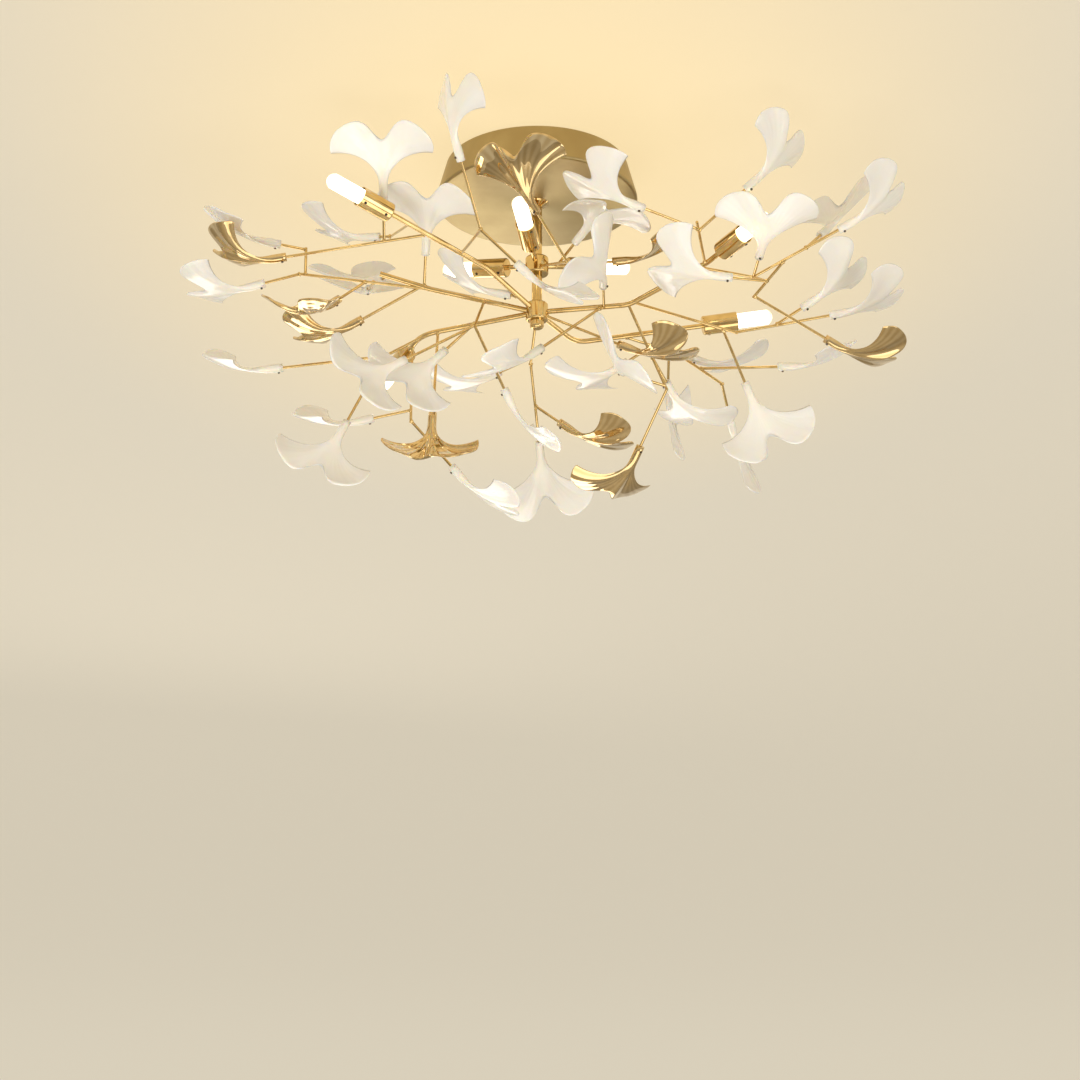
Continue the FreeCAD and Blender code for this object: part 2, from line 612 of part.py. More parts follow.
def main():
    """Builds every piece and writes one file per node."""
    os.makedirs("parts", exist_ok=True)
    nodes = {}

    def add(node, solid):
        nodes.setdefault(node, []).extend(solid.Solids)

    add("ceiling_bracket", bracket())
    add("terminal_block", terminal_block())
    add("earth_screw", earth_screw())
    add("pan", pan())
    add("pan_side_screws", side_screws())
    paths = {arm.name: arm_path(arm) for arm in ARMS}
    wireways = {arm.name: tube(paths[arm.name], ARM_BORE_R) for arm in ARMS if arm.lamp}
    add("stem_tube", drilled(stem_tube(), wireways.values()))
    add("stem_nut", stem_nut())
    add("stem_collar", stem_collar())
    hubs = {
        "upper_hub": (UPPER_HUB_DROP, UPPER_HUB_R, UPPER_HUB_HEIGHT),
        "lower_hub": (LOWER_HUB_DROP, LOWER_HUB_R, LOWER_HUB_HEIGHT),
    }
    core = Part.makeCylinder(STEM_R, -STEM_END, V(0, 0, STEM_END))
    for name, sizes in hubs.items():
        add(name, drilled(hub(*sizes), wireways.values()))
        drop, radius, height = sizes
        core = core.fuse(Part.makeCylinder(radius, height, V(0, 0, -drop - height / 2)))
    add("finial", finial())
    core = core.fuse(finial())

    lamp_set = {"lamp_cup": cup(), "lamp_holder": holder(), "lamp": lamp()}
    runs = {name: V(0, 0, -sizes[0]) for name, sizes in hubs.items()}
    owner = {"upper_hub": "centre_twigs", "lower_hub": "centre_twigs"}
    rods = []
    for arm in ARMS:
        owner[arm.name] = arm.name
        bar = tube(paths[arm.name], ARM_R)
        body = bar.cut(core)
        if arm.lamp:
            body = body.cut(wireways[arm.name])
            last = paths[arm.name].Edges[-1]
            end = last.valueAt(last.LastParameter)
            along = last.tangentAt(last.LastParameter)
            place = frame_at(end, along, UP)
            for node, solid in lamp_set.items():
                piece = solid.copy()
                piece.Placement = place
                add("%s_%d" % (node, arm.lamp), piece)
            print("lamp", arm.lamp, "axis", along, "at", end)
        add(arm.name, body)
        rods.append(bar)

    moulds = {Finish.WHITE: leaf_solid(WHITE_MOULD), Finish.GOLD: leaf_solid(GOLD_MOULD)}
    grub = Part.makeCylinder(GRUB_R, GRUB_LENGTH, V(GRUB_FROM_END, 0, -TWIG_R), V(0, 0, -1))
    for twig in TWIGS:
        if twig.on in paths:
            start = point_on(paths[twig.on], twig.at)
        else:
            start = runs[twig.on]
        go = V(*twig.go)
        along = unit(go)
        length = go.Length + (TWIG_SEAT if twig.leaf else 0.0)
        paths[twig.name] = Part.Wire(Part.LineSegment(start, start + go).toShape())
        owner[twig.name] = owner[twig.on]
        bar = Part.makeCylinder(TWIG_R, length, start, along)
        body = bar.cut(core)
        for other in rods:
            if other.BoundBox.intersect(bar.BoundBox):
                body = body.cut(other)
        body = max(body.Solids, key=lambda s: s.Volume)
        add(owner[twig.name], body)
        rods.append(bar)
        if twig.leaf:
            place = frame_at(start + go, go, twig.face)
            leaf = moulds[twig.leaf].copy()
            leaf.Placement = place
            group = owner[twig.name].replace("_lamp_arm", "").replace("_arm", "").replace("_twigs", "")
            add(twig.leaf + "_leaves_" + group, leaf)
            screw = grub.copy()
            screw.Placement = place
            add("leaf_grub_screws", screw)
    for name, solids in nodes.items():
        Part.makeCompound(solids).exportStep("parts/" + name + ".step")
    print(len(nodes), "nodes", sum(len(s) for s in nodes.values()), "solids")


main()
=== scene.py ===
"""Dresses the leaf flush mount ceiling light.

Porcelain and gilt ginkgo leaves and capsule lamps are worked out as surfaces and placed on the frame's own
nodes. The gilt rods, hubs, cups and the satin pan keep their solids and get their finishes here.
"""
from __future__ import annotations

import json
import logging
import math
from dataclasses import dataclass, field
from enum import Enum

import bpy
import numpy as np
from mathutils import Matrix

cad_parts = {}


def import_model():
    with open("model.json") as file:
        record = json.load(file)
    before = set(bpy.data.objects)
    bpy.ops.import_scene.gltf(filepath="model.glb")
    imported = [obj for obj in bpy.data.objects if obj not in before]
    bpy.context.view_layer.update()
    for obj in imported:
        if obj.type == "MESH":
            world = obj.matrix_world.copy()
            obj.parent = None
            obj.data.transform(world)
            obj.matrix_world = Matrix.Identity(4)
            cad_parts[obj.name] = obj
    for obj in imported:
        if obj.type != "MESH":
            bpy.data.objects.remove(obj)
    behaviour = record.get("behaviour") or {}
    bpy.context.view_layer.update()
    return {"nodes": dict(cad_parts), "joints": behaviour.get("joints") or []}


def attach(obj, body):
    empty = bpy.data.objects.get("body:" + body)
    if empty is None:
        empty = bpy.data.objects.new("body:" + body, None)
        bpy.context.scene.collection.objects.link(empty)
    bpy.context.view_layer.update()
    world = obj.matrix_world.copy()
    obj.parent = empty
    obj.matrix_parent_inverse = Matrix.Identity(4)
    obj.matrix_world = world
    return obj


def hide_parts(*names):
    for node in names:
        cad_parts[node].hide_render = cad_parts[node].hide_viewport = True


LOG = logging.getLogger("leaf_light")
MM = 0.001
FIXTURE = "fixture"
LAMP_COUNT = 7
GRID_WELDS_PER_MM = 1e4
NODE_WELDS_PER_M = 1e6
SMALL_PART_CLOUD = 90.0
SMALL_PART_GRAIN = 1400.0
SMALL_PART_GRAIN_GLOSS = 0.15
SMALL_PART_RELIEF = 0.00004
SMALL_PART_RELIEF_STRENGTH = 0.4


def unit(vector: np.ndarray) -> np.ndarray:
    """Vectors along the last axis, scaled to length one."""
    length = np.linalg.norm(vector, axis=-1, keepdims=True)
    return vector / np.maximum(length, 1e-12)


class Wire:
    """A shader socket that takes part in Python expressions; each operator adds a Math node."""

    def __init__(self, sheet: Sheet, socket: bpy.types.NodeSocket) -> None:
        """Keeps the sheet that the socket belongs to."""
        self.sheet = sheet
        self.socket = socket

    def _math(self, operation: str, *values: float | Wire) -> Wire:
        """Math node of the given operation on the values."""
        node = self.sheet.node("ShaderNodeMath", {"operation": operation}, dict(enumerate(values)))
        return Wire(self.sheet, node.outputs[0])

    def __add__(self, other: float | Wire) -> Wire:
        """Sum."""
        return self._math("ADD", self, other)

    __radd__ = __add__

    def __sub__(self, other: float | Wire) -> Wire:
        """Difference."""
        return self._math("SUBTRACT", self, other)

    def __rsub__(self, other: float | Wire) -> Wire:
        """Difference, the other way round."""
        return self._math("SUBTRACT", other, self)

    def __mul__(self, other: float | Wire) -> Wire:
        """Product."""
        return self._math("MULTIPLY", self, other)

    __rmul__ = __mul__

    def __pow__(self, other: float) -> Wire:
        """Power."""
        return self._math("POWER", self, other)

    def sine(self) -> Wire:
        """Sine of an angle in radians."""
        return self._math("SINE", self)

    def within(self, low: float, high: float) -> Wire:
        """Smooth step from 0 to 1.

        Args:
            low: where it leaves 0.
            high: where it reaches 1.

        Returns:
            The step's value.
        """
        settings = {"interpolation_type": "SMOOTHSTEP", "clamp": True}
        node = self.sheet.node("ShaderNodeMapRange", settings, {0: self, 1: low, 2: high})
        return Wire(self.sheet, node.outputs[0])


class Sheet:
    """One node tree, of a material or of the world."""

    def __init__(self, tree: bpy.types.NodeTree) -> None:
        """Empties the tree."""
        self.tree = tree
        tree.nodes.clear()

    def node(self, kind: str, settings: dict, inputs: dict) -> bpy.types.Node:
        """Adds a node.

        Args:
            kind: the node's type.
            settings: its properties, set before its sockets.
            inputs: values or links, by socket name or number.

        Returns:
            The node.
        """
        node = self.tree.nodes.new(kind)
        for key, value in settings.items():
            setattr(node, key, value)
        for key, value in inputs.items():
            if isinstance(value, Wire):
                self.tree.links.new(value.socket, node.inputs[key])
            elif isinstance(value, bpy.types.NodeSocket):
                self.tree.links.new(value, node.inputs[key])
            else:
                node.inputs[key].default_value = value
        return node

    def out(self, kind: str, settings: dict, inputs: dict, socket: str | int = 0) -> Wire:
        """One output of a new node."""
        return Wire(self, self.node(kind, settings, inputs).outputs[socket])

    def place(self) -> Wire:
        """Object coordinates."""
        return self.out("ShaderNodeTexCoord", {}, {}, "Object")

    def uv(self) -> tuple[Wire, Wire]:
        """The piece's own coordinates.

        Returns:
            Across and along, each from 0 to 1.
        """
        vector = self.out("ShaderNodeUVMap", {"uv_map": "UVMap"}, {})
        node = self.node("ShaderNodeSeparateXYZ", {}, {0: vector})
        return Wire(self, node.outputs[0]), Wire(self, node.outputs[1])

    def noise(self, vector: Wire, scale: float, detail: float = 3.0) -> Wire:
        """Noise value on a vector."""
        return self.out("ShaderNodeTexNoise", {}, {"Vector": vector, "Scale": scale, "Detail": detail}, 0)

    def stretched(self, vector: Wire, scale: tuple) -> Wire:
        """Vector with each part scaled."""
        return self.out("ShaderNodeMapping", {}, {"Vector": vector, "Scale": scale})

    def mix(self, factor: Wire, first: tuple | Wire, second: tuple | Wire) -> Wire:
        """Colour mixed from two by a factor."""
        inputs = {0: factor, 6: self._colour(first), 7: self._colour(second)}
        return self.out("ShaderNodeMix", {"data_type": "RGBA"}, inputs, 2)

    @staticmethod
    def _colour(value: tuple | Wire) -> tuple | Wire:
        """Colour with its alpha, or the link as it is."""
        return value if isinstance(value, Wire) else (*value, 1.0)

    def bump(self, height: Wire, distance: float, strength: float = 1.0) -> Wire:
        """Normal bumped by a height in metres of the given distance."""
        inputs = {"Height": height, "Distance": distance, "Strength": strength}
        return self.out("ShaderNodeBump", {}, inputs)

    def surface(self, inputs: dict) -> None:
        """Principled surface on the material's output."""
        shader = self.node("ShaderNodeBsdfPrincipled", {}, inputs)
        self.node("ShaderNodeOutputMaterial", {}, {"Surface": shader.outputs[0]})


def new_sheet(name: str) -> tuple[bpy.types.Material, Sheet]:
    """Makes a material.

    Args:
        name: the material's name.

    Returns:
        The material and its sheet.
    """
    material = bpy.data.materials.new(name)
    material.use_nodes = True
    return material, Sheet(material.node_tree)


@dataclass(frozen=True)
class PolishedGilt:
    """Polished gilt tube, rod and turned work, with faint drawing lines and handling haze."""

    colour: tuple = (0.78, 0.58, 0.28)
    deep: tuple = (0.64, 0.45, 0.19)
    polish: float = 0.03
    haze: float = 0.04
    cloud_scale: float = 55.0
    line_scale: tuple = (900.0, 900.0, 60.0)
    line_gloss: float = 0.02
    line_relief: float = 0.000003
    line_strength: float = 0.2

    def material(self) -> bpy.types.Material:
        """Builds the material.

        Returns:
            The material.
        """
        material, sheet = new_sheet("polished_gilt")
        place = sheet.place()
        cloud = sheet.noise(place, self.cloud_scale)
        lines = sheet.noise(sheet.stretched(place, self.line_scale), 1.0, 2.0)
        colour = sheet.mix(cloud.within(0.35, 0.75), self.colour, self.deep)
        rough = self.polish + self.haze * cloud.within(0.45, 0.8) + self.line_gloss * lines
        sheet.surface({"Base Color": colour, "Metallic": 1.0, "Roughness": rough,
                       "Normal": sheet.bump(lines, self.line_relief, self.line_strength)})
        return material


@dataclass(frozen=True)
class GiltCasting:
    """Polished cast leaf with fine veins, brighter on them as a painted highlight and deeper between them as
    painted shade, over a random cloud of tone.
    """

    colour: tuple = (0.78, 0.61, 0.35)
    deep: tuple = (0.62, 0.45, 0.22)
    polish: float = 0.05
    haze: float = 0.05
    cloud_scale: float = 70.0
    veins: float = 13.0
    # strength of the painted highlight on the veins and the painted shade between them
    vein_highlight_and_shade: float = 0.3
    vein_relief: float = 0.00003
    vein_strength: float = 0.4

    def material(self) -> bpy.types.Material:
        """Builds the material.

        Returns:
            The material.
        """
        material, sheet = new_sheet("gilt_casting")
        across, along = sheet.uv()
        cloud = sheet.noise(sheet.place(), self.cloud_scale)
        vein = (across * (self.veins * math.tau)).sine() * along.within(0.3, 0.9)
        # painted light: the colour is lighter along the vein ridges, a painted highlight, and deeper in the
        # grooves, painted shade; the cloud adds random tone
        shade = (0.5 + self.vein_highlight_and_shade * vein + (cloud - 0.5)).within(0.1, 0.9)
        colour = sheet.mix(shade, self.deep, self.colour)
        rough = self.polish + self.haze * cloud.within(0.45, 0.8)
        sheet.surface({"Base Color": colour, "Metallic": 1.0, "Roughness": rough,
                       "Normal": sheet.bump(vein, self.vein_relief, self.vein_strength)})
        return material


@dataclass(frozen=True)
class Porcelain:
    """Glazed white porcelain, slightly translucent, warmer at the stalk, with soft ridges under the glaze."""

    colour: tuple = (0.93, 0.915, 0.885)
    warm: tuple = (0.92, 0.86, 0.75)
    gloss: float = 0.14
    haze: float = 0.10
    cloud_scale: float = 40.0
    grain_scale: float = 260.0
    grain_gloss: float = 0.03
    glaze: float = 0.35
    glaze_roughness: float = 0.06
    depth_share: float = 0.55
    depth: float = 0.006
    depth_tint: tuple = (1.0, 0.72, 0.46)
    veins: float = 17.0
    vein_relief: float = 0.00015
    vein_strength: float = 0.4

    def material(self) -> bpy.types.Material:
        """Builds the material.

        Returns:
            The material.
        """
        material, sheet = new_sheet("white_porcelain")
        across, along = sheet.uv()
        cloud = sheet.noise(sheet.place(), self.cloud_scale)
        fine = sheet.noise(sheet.place(), self.grain_scale)
        vein = (across * (self.veins * math.tau)).sine() * along.within(0.35, 0.9)
        warmth = (1.0 - along.within(0.2, 0.62)) * 0.6 + 0.35 * cloud.within(0.5, 0.8)
        colour = sheet.mix(warmth, self.colour, self.warm)
        rough = self.gloss + self.haze * cloud.within(0.4, 0.8) + self.grain_gloss * fine
        relief = vein * 0.5 + fine * 0.1
        sheet.surface({"Base Color": colour, "Roughness": rough,
                       "Coat Weight": self.glaze, "Coat Roughness": self.glaze_roughness,
                       "Subsurface Weight": self.depth_share, "Subsurface Scale": self.depth,
                       "Subsurface Radius": self.depth_tint,
                       "Normal": sheet.bump(relief, self.vein_relief, self.vein_strength)})
        return material


@dataclass(frozen=True)
class SatinPan:
    """Brushed champagne sheet metal, its lines running round the pan, with a soft bloom."""

    colour: tuple = (0.43, 0.33, 0.16)
    pale: tuple = (0.51, 0.41, 0.21)
    metallic: float = 0.85
    roughness: float = 0.40
    brushing: float = 0.7
    cloud_scale: float = 18.0
    cloud_gloss: float = 0.08
    line_scale: float = 1600.0
    line_drift: float = 9.0
    line_gloss: float = 0.12
    line_relief: float = 0.00003
    line_strength: float = 0.5

    def material(self) -> bpy.types.Material:
        """Builds the material.

        Returns:
            The material.
        """
        material, sheet = new_sheet("satin_pan")
        place = sheet.place()
        parts = sheet.node("ShaderNodeSeparateXYZ", {}, {0: place})
        x, y, z = (Wire(sheet, parts.outputs[k]) for k in range(3))
        radius = (x * x + y * y) ** 0.5
        rings = sheet.out("ShaderNodeCombineXYZ", {}, {0: radius * self.line_scale, 1: z * self.line_scale,
                                                       2: x * self.line_drift})
        lines = sheet.noise(rings, 1.0, 2.0)
        cloud = sheet.noise(place, self.cloud_scale)
        colour = sheet.mix(cloud.within(0.35, 0.7), self.colour, self.pale)
        rough = self.roughness + self.line_gloss * (lines - 0.5) + self.cloud_gloss * (cloud - 0.5)
        sheet.surface({"Base Color": colour, "Metallic": self.metallic, "Roughness": rough,
                       "Anisotropic": self.brushing,
                       "Normal": sheet.bump(lines, self.line_relief, self.line_strength)})
        return material


@dataclass(frozen=True)
class LitGlass:
    """Frosted capsule that glows: white along its barrel, amber at its foot, with a clear rim at its tip."""

    glass: tuple = (0.95, 0.92, 0.85, 1.0)
    hot: tuple = (1.0, 0.93, 0.76)
    amber: tuple = (1.0, 0.66, 0.28)
    clear: tuple = (0.22, 0.20, 0.15)
    glow: float = 3.2
    gloss: float = 0.15
    grain_scale: float = 700.0
    grain_gloss: float = 0.1
    grain_tint: float = 0.15

    def material(self) -> bpy.types.Material:
        """Builds the material.

        Returns:
            The material.
        """
        material, sheet = new_sheet("lit_glass")
        _, along = sheet.uv()
        grain = sheet.noise(sheet.place(), self.grain_scale)
        colour = sheet.mix(along.within(0.02, 0.16), self.amber, self.hot)
        rim = along.within(0.56, 0.66) * (1.0 - along.within(0.80, 0.90))
        rimmed = sheet.mix(rim, colour, self.clear)
        dimmed = sheet.mix(self.grain_tint * grain, rimmed, self.amber)
        sheet.surface({"Base Color": self.glass, "Roughness": self.gloss + self.grain_gloss * grain,
                       "Emission Color": dimmed, "Emission Strength": self.glow})
        return material


class Plain(Enum):
    """Small parts' finishes: colour, second colour, metallic, roughness."""

    CERAMIC = ((0.80, 0.77, 0.69), (0.70, 0.65, 0.55), 0.0, 0.45)
    ZINC = ((0.58, 0.59, 0.60), (0.42, 0.43, 0.45), 1.0, 0.34)
    DARK_SCREW = ((0.07, 0.06, 0.05), (0.16, 0.13, 0.09), 0.8, 0.38)
    PLASTIC = ((0.78, 0.77, 0.72), (0.70, 0.69, 0.63), 0.0, 0.42)

    def material(self) -> bpy.types.Material:
        """Builds the material: two colours in a cloud, with a fine grain in gloss and relief.

        Returns:
            The material.
        """
        colour, second, metallic, roughness = self.value
        material, sheet = new_sheet(self.name.lower())
        place = sheet.place()
        cloud = sheet.noise(place, SMALL_PART_CLOUD)
        grain = sheet.noise(place, SMALL_PART_GRAIN)
        tint = sheet.mix(cloud.within(0.35, 0.7), colour, second)
        sheet.surface({"Base Color": tint, "Metallic": metallic,
                       "Roughness": roughness + SMALL_PART_GRAIN_GLOSS * (grain - 0.5),
                       "Normal": sheet.bump(grain, SMALL_PART_RELIEF, SMALL_PART_RELIEF_STRENGTH)})
        return material


class Surface:
    """Grids of points gathered into one mesh."""

    def __init__(self) -> None:
        """Starts empty."""
        self.points: list[np.ndarray] = []
        self.uvs: list[np.ndarray] = []
        self.triangles: list[np.ndarray] = []
        self.count = 0

    def grid(self, points: np.ndarray, uv: np.ndarray, flip: bool = False) -> None:
        """Adds a grid of points.

        Args:
            points: rows by columns by 3; a face looks along its row step crossed with its column step.
            uv: rows by columns by 2.
            flip: turns the faces round.
        """
        rows, cols = points.shape[:2]
        index = np.arange(rows * cols).reshape(rows, cols) + self.count
        a, b, c, d = index[:-1, :-1], index[1:, :-1], index[1:, 1:], index[:-1, 1:]
        first, second = np.stack([a, b, c], -1), np.stack([a, c, d], -1)
        triangles = np.concatenate([first.reshape(-1, 3), second.reshape(-1, 3)])
        self.triangles.append(triangles[:, ::-1] if flip else triangles)
        self.points.append(points.reshape(-1, 3))
        self.uvs.append(uv.reshape(-1, 2))
        self.count += rows * cols

    def lathe(self, profile: np.ndarray, segments: int) -> None:
        """Adds a turned form about X.

        Args:
            profile: x and radius, from axis to axis.
            segments: sides of the turned form.
        """
        turn = np.linspace(0.0, math.tau, segments + 1)
        turn[-1] = 0.0
        x = np.repeat(profile[:, :1], segments + 1, axis=1)
        y = profile[:, 1:] * np.cos(turn)
        z = profile[:, 1:] * np.sin(turn)
        run = np.linspace(0.0, 1.0, len(profile))[:, None] + 0.0 * y
        round_about = np.linspace(0.0, 1.0, segments + 1)[None, :] + 0.0 * y
        self.grid(np.stack([x, y, z], -1), np.stack([round_about, run], -1), flip=True)

    def arrays(self) -> tuple[np.ndarray, np.ndarray, np.ndarray]:
        """The gathered mesh, with equal points welded.

        Returns:
            Points, uvs and triangles, without empty triangles.
        """
        points = np.concatenate(self.points)
        keys = np.round(points * GRID_WELDS_PER_MM).astype(np.int64)
        _, keep, back = np.unique(keys, axis=0, return_index=True, return_inverse=True)
        triangles = back.reshape(-1)[np.concatenate(self.triangles)]
        a, b, c = triangles.T
        return points[keep], np.concatenate(self.uvs)[keep], triangles[(a != b) & (b != c) & (c != a)]


def make_piece(name: str, points: np.ndarray, uvs: np.ndarray, triangles: np.ndarray,
               material: bpy.types.Material) -> bpy.types.Object:
    """Puts arrays into a mesh object at the origin.

    Args:
        name: the piece's name.
        points: places in metres.
        uvs: one pair for each point.
        triangles: point numbers, three a row.
        material: its finish.

    Returns:
        The object, smooth shaded.
    """
    mesh = bpy.data.meshes.new(name)
    mesh.from_pydata(points.tolist(), [], triangles.tolist())
    layer = mesh.uv_layers.new(name="UVMap")
    layer.data.foreach_set("uv", uvs[triangles.reshape(-1)].astype(np.float32).ravel())
    mesh.polygons.foreach_set("use_smooth", np.ones(len(triangles), dtype=bool))
    mesh.materials.append(material)
    mesh.update()
    piece = bpy.data.objects.new(name, mesh)
    bpy.context.scene.collection.objects.link(piece)
    return piece


def spline_weights(count: int, places: np.ndarray) -> np.ndarray:
    """Weights of clamped uniform cubic spline control points.

    Args:
        count: how many control points.
        places: parameters from 0 to count - 3.

    Returns:
        One row of weights for each place, by the recurrence that blends each basis with its neighbour.
    """
    knots = np.concatenate([np.zeros(3), np.arange(count - 2), np.full(3, count - 3)]).astype(float)
    x = np.clip(places, 0.0, count - 3 - 1e-9)[:, None]
    weights = ((knots[:-1] <= x) & (x < knots[1:])).astype(float)
    for degree in (1, 2, 3):
        size = len(knots) - degree - 1
        left, right = knots[degree:degree + size] - knots[:size], knots[degree + 1:] - knots[1:1 + size]
        rise = (x - knots[:size]) / np.where(left > 0, left, 1.0) * (left > 0)
        fall = (knots[degree + 1:] - x) / np.where(right > 0, right, 1.0) * (right > 0)
        weights = rise * weights[:, :size] + fall * weights[:, 1:1 + size]
    return weights


@dataclass(frozen=True)
class Leaf:
    """Ginkgo leaf in millimetres, on its stalk along X, cupped toward Z."""

    reach: float
    spread: float
    cleft: float
    bend: float
    cup: float
    half_thick: float
    flutes: float
    flute_depth: float
    flute_start: float = 0.45
    flute_run: float = 0.45
    flute_phase: float = 0.12
    second_flute: float = 0.45
    second_pitch: float = 1.7
    wave: float = 4.0
    waves: float = 2.2
    neck_spread: float = 20.0
    petiole_r: float = 4.6
    petiole_length: float = 18.0
    cleft_half_width: float = 0.13
    neck_fade: float = 0.16
    tip_rounding: float = 0.16
    lobe_swell: float = 0.04
    rim_crowding: float = 0.2
    seat_r: float = 1.6
    seat_depth: float = 12.4
    stalk_stations: tuple = (0.0, 0.3, 0.6, 0.85)
    blade_stations: tuple = (0.08, 0.22, 0.45, 0.70, 0.90, 1.0)
    slope_step: float = 0.01
    across: int = 12
    columns: int = 56
    stalk_rows: int = 7
    blade_rows: int = 34
    rim_rows: int = 7

    def blade(self, rho: np.ndarray, w: np.ndarray) -> np.ndarray:
        """Middle surface: a fan with a cleft, rolled up along its length, cupped and waved across it.

        Args:
            rho: 0 at the neck to 1 at the rim.
            w: -1 to 1 across.

        Returns:
            Points.
        """
        angle = np.radians(self.neck_spread + (self.spread - self.neck_spread) * rho) * w
        cleft = self.cleft * np.exp(-(w / self.cleft_half_width) ** 2) * rho ** 3
        trim = self.tip_rounding * w ** 6 * rho - self.lobe_swell * np.sin(np.pi * np.abs(w)) * rho
        out = self.reach * rho * (1.0 - cleft - trim)
        x = out * np.cos(angle)
        y = out * np.sin(angle) + self.petiole_r * w * np.exp(-rho / self.neck_fade)
        z = self.cup * y * y + 0.5 * self.wave * rho ** 2 * np.sin(self.waves * np.pi * w)
        turn = math.radians(self.bend) / self.reach
        along = np.sin(turn * x) / turn - z * np.sin(turn * x)
        lift = (1.0 - np.cos(turn * x)) / turn + z * np.cos(turn * x)
        return np.stack([self.petiole_length + along, y, lift], -1)

    def skin_net(self, side: int) -> np.ndarray:
        """Control points of one skin: the round stalk, then the blade moved out by its thickness.

        Args:
            side: 1 for the upper skin, -1 for the lower.

        Returns:
            Rows by columns by 3.
        """
        phi = np.linspace(0.0, np.pi, self.across + 1)[None, :]
        stalk = np.array(self.stalk_stations)[:, None] * self.petiole_length + 0.0 * phi
        ring = np.stack([stalk, self.petiole_r * np.cos(phi) + 0.0 * stalk,
                         side * self.petiole_r * np.sin(phi) + 0.0 * stalk], -1)
        rho = np.array(self.blade_stations)[:, None] + 0.0 * phi
        w = np.sign(np.cos(phi)) * np.abs(np.cos(phi)) ** (1.0 + self.rim_crowding * rho)
        step = self.slope_step
        normal = unit(np.cross(self.blade(rho + step, w) - self.blade(rho - step, w),
                               self.blade(rho, w + step) - self.blade(rho, w - step)))
        thick = self.half_thick + (self.petiole_r - self.half_thick) * np.exp(-rho / self.neck_fade)
        out = (side * thick * np.maximum(np.sin(phi), 0.0))[..., None]
        return np.concatenate([ring, self.blade(rho, w) + normal * out])

    def surface(self) -> Surface:
        """Closed leaf: two fluted skins, a rounded rim and the bored end of the stalk.

        Returns:
            The grids, in millimetres.
        """
        net = [self.skin_net(side) for side in (1, -1)]
        rows, cols = net[0].shape[:2]
        u = np.concatenate([np.linspace(0.0, 3.0, self.stalk_rows, endpoint=False),
                            np.linspace(3.0, rows - 3.0, self.blade_rows)])
        v = np.linspace(0.0, cols - 3.0, self.columns + 1)
        by_row, by_col = spline_weights(rows, u), spline_weights(cols, v)
        front, back = (np.einsum("ri,ijk,cj->rck", by_row, n, by_col) for n in net)
        share = np.clip((u / (rows - 3.0) - self.flute_start) / self.flute_run, 0.0, 1.0)[:, None]
        place = (v / (cols - 3.0))[None, :]
        normal = unit(np.cross(np.gradient(front, axis=1), np.gradient(front, axis=0)))
        flute = self.flute_depth * share ** 1.5 * np.sin(np.pi * place) ** 0.5
        ripple = np.cos(math.tau * (self.flutes * place + self.flute_phase))
        ripple = ripple + self.second_flute * np.cos(math.tau * self.second_pitch * self.flutes * place)
        shift = normal * (flute * ripple)[..., None]
        front, back = front + shift, back + shift
        uv = np.stack([place + 0.0 * share, (u / (rows - 3.0))[:, None] + 0.0 * place], -1)
        made = Surface()
        made.grid(front, uv, flip=True)
        made.grid(back, uv)
        self._rim(made, front, back, uv)
        self._stalk_end(made, front[0], back[0])
        return made

    def _rim(self, made: Surface, front: np.ndarray, back: np.ndarray, uv: np.ndarray) -> None:
        """Adds the rim: half circles from skin to skin, about the line midway between them.

        Args:
            made: takes the grid.
            front: the upper skin.
            back: the lower skin.
            uv: the skins' coordinates.
        """
        outward = unit((front[-1] - front[-2]) + (back[-1] - back[-2]))
        middle, half = 0.5 * (front[-1] + back[-1]), 0.5 * (front[-1] - back[-1])
        turn = np.linspace(0.5 * np.pi, -0.5 * np.pi, self.rim_rows)[:, None, None]
        size = np.linalg.norm(half, axis=-1, keepdims=True)
        made.grid(middle + half * np.sin(turn) + outward * size * np.cos(turn),
                  np.repeat(uv[-1:], self.rim_rows, axis=0), flip=True)

    def _stalk_end(self, made: Surface, front: np.ndarray, back: np.ndarray) -> None:
        """Adds the stalk's end: from its outer loop in to the seat, along the bore and shut at its end.

        Args:
            made: takes the grid.
            front: the upper skin's first row.
            back: the lower skin's first row.
        """
        loop = np.concatenate([front, back[-2::-1]])
        arm = unit(loop * np.array([0.0, 1.0, 1.0]))
        deep = np.array([self.seat_depth, 0.0, 0.0])
        mouth = arm * self.seat_r
        points = np.stack([loop, mouth, mouth + deep, 0.0 * mouth + deep])
        made.grid(points, np.zeros((*points.shape[:2], 2)))


WHITE_LEAF = Leaf(reach=74.5, spread=56.0, cleft=0.56, bend=38.0, cup=0.0040, half_thick=1.6,
                  flutes=2.4, flute_depth=0.5)
GOLD_LEAF = Leaf(reach=72.8, spread=54.0, cleft=0.50, bend=54.0, cup=0.0062, half_thick=1.2,
                 flutes=2.7, flute_depth=2.2, columns=112)


def node_mesh(node: bpy.types.Object) -> tuple[np.ndarray, np.ndarray]:
    """Reads a frame node's mesh.

    Args:
        node: the node's object.

    Returns:
        Its points, equal ones welded, and its triangles.
    """
    mesh = node.data
    points = np.empty(len(mesh.vertices) * 3)
    mesh.vertices.foreach_get("co", points)
    mesh.calc_loop_triangles()
    triangles = np.empty(len(mesh.loop_triangles) * 3, dtype=np.int64)
    mesh.loop_triangles.foreach_get("vertices", triangles)
    points = points.reshape(-1, 3)
    keys = np.round(points * NODE_WELDS_PER_M).astype(np.int64)
    _, keep, back = np.unique(keys, axis=0, return_index=True, return_inverse=True)
    return points[keep], back.reshape(-1)[triangles].reshape(-1, 3)


